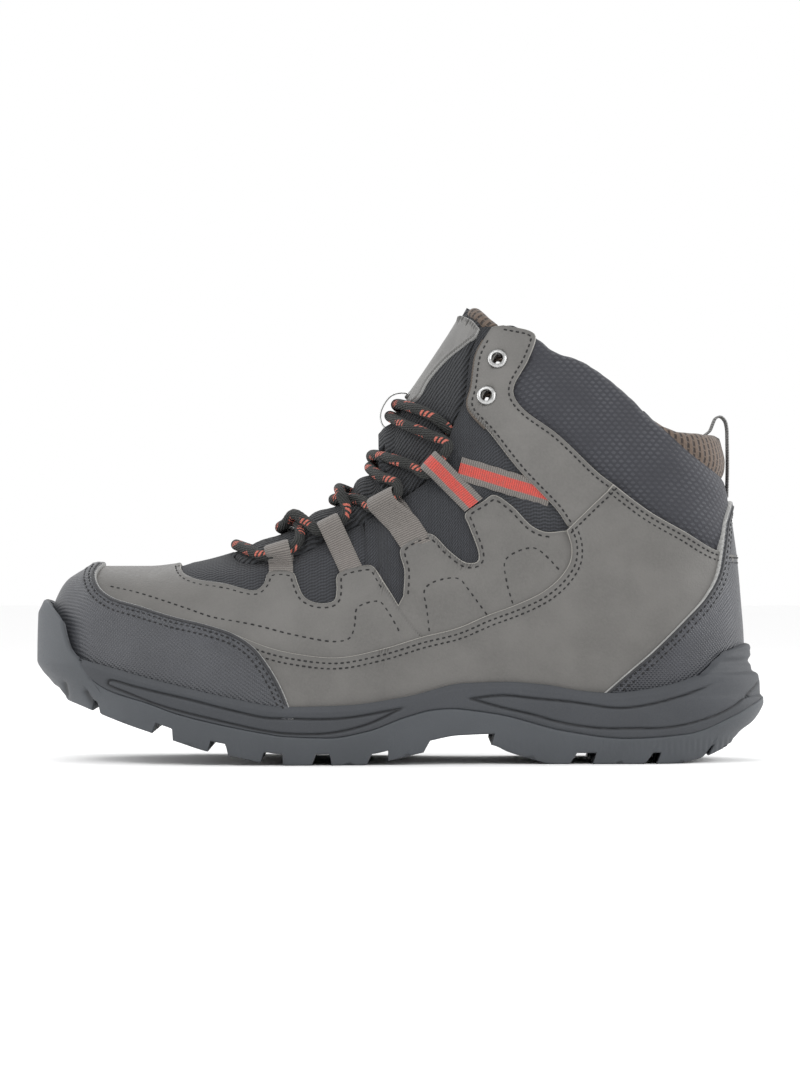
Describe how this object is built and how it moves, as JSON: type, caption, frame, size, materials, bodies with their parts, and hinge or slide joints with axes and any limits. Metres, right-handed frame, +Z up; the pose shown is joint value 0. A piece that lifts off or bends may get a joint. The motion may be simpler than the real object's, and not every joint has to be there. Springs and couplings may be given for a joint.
{
  "type": "hiking boot",
  "caption": "Mid-height laced hiking boot for a left foot, with a lugged rubber sole, toe and heel guards, webbing lace loops, a padded tongue and a pull loop.",
  "frame": {"origin": "on the ground, under the middle of the sole's length and width", "axes": "+Z up, the toe points to -X, the outer side of the foot is -Y"},
  "size_m": [0.3, 0.1085, 0.1857],
  "materials": {
    "rubber": "matt moulded rubber",
    "foam": "matt moulded midsole foam",
    "leather": "grey synthetic leather with a fine grain",
    "guard": "charcoal coated textile with an embossed weave",
    "mesh": "charcoal ribbed air mesh",
    "collar": "charcoal-blue padded collar fabric with a wavy knit",
    "lining": "brown spacer mesh",
    "padding": "open-cell foam",
    "stiffener": "thermoplastic sheet",
    "board": "pressed fibre board",
    "webbing": "grey grosgrain webbing",
    "stripe": "grey grosgrain webbing with an orange-red stripe",
    "lace": "charcoal braid with orange-red flecks",
    "plastic": "crimped plastic tip",
    "keeper": "pale elastic band",
    "metal": "satin nickel"
  },
  "bodies": {
    "boot": {"outsole": "rubber", "midsole": "foam", "shank": "stiffener", "insole_board": "board", "footbed": "lining", "lace": "lace", "lace_tail_outer": "lace", "aglet_outer": "plastic", "lace_tail_inner": "lace", "aglet_inner": "plastic", "vamp_mesh": "mesh", "quarter_mesh_outer": "mesh", "collar_panel_outer": "collar", "quarter_mesh_inner": "mesh", "collar_panel_inner": "collar", "achilles_cuff": "lining", "toe_guard": "guard", "heel_cover": "guard", "vamp_overlay": "leather", "quarter_overlay_outer": "leather", "eyestay_outer": "leather", "heel_quarter_outer": "leather", "quarter_overlay_inner": "leather", "eyestay_inner": "leather", "heel_quarter_inner": "leather", "toe_puff": "stiffener", "heel_counter": "stiffener", "collar_foam": "padding", "lining": "lining", "lace_loop_1_outer": "webbing", "lace_loop_2_outer": "webbing", "lace_loop_3_outer": "webbing", "lace_loop_4_outer": "stripe", "side_strap_outer": "stripe", "eyelet_upper_outer": "metal", "eyelet_lower_outer": "metal", "tongue_gusset_outer": "mesh", "lace_loop_1_inner": "webbing", "lace_loop_2_inner": "webbing", "lace_loop_3_inner": "webbing", "lace_loop_4_inner": "stripe", "side_strap_inner": "stripe", "eyelet_upper_inner": "metal", "eyelet_lower_inner": "metal", "tongue_gusset_inner": "mesh", "tongue_pad": "mesh", "lace_keeper": "keeper", "pull_tab_outer_tail": "webbing", "pull_tab_inner_tail": "webbing"},
    "tongue_top": {"tongue_flap": "mesh", "tongue_patch": "leather"},
    "pull_loop": {"pull_loop": "webbing"}
  },
  "joints": [
    {"name": "tongue_fold", "type": "hinge", "parent": "boot", "child": "tongue_top", "pos_m": [0.01305, 0, 0.14957], "axis": [0, -1, 0], "range_deg": [0, 35]},
    {"name": "pull_loop_flop", "type": "hinge", "parent": "boot", "child": "pull_loop", "pos_m": [0.131, 0, 0.1344], "axis": [0, 1, 0], "range_deg": [-20, 20], "stiffness_Nm_per_rad": 0.0005}
  ]
}
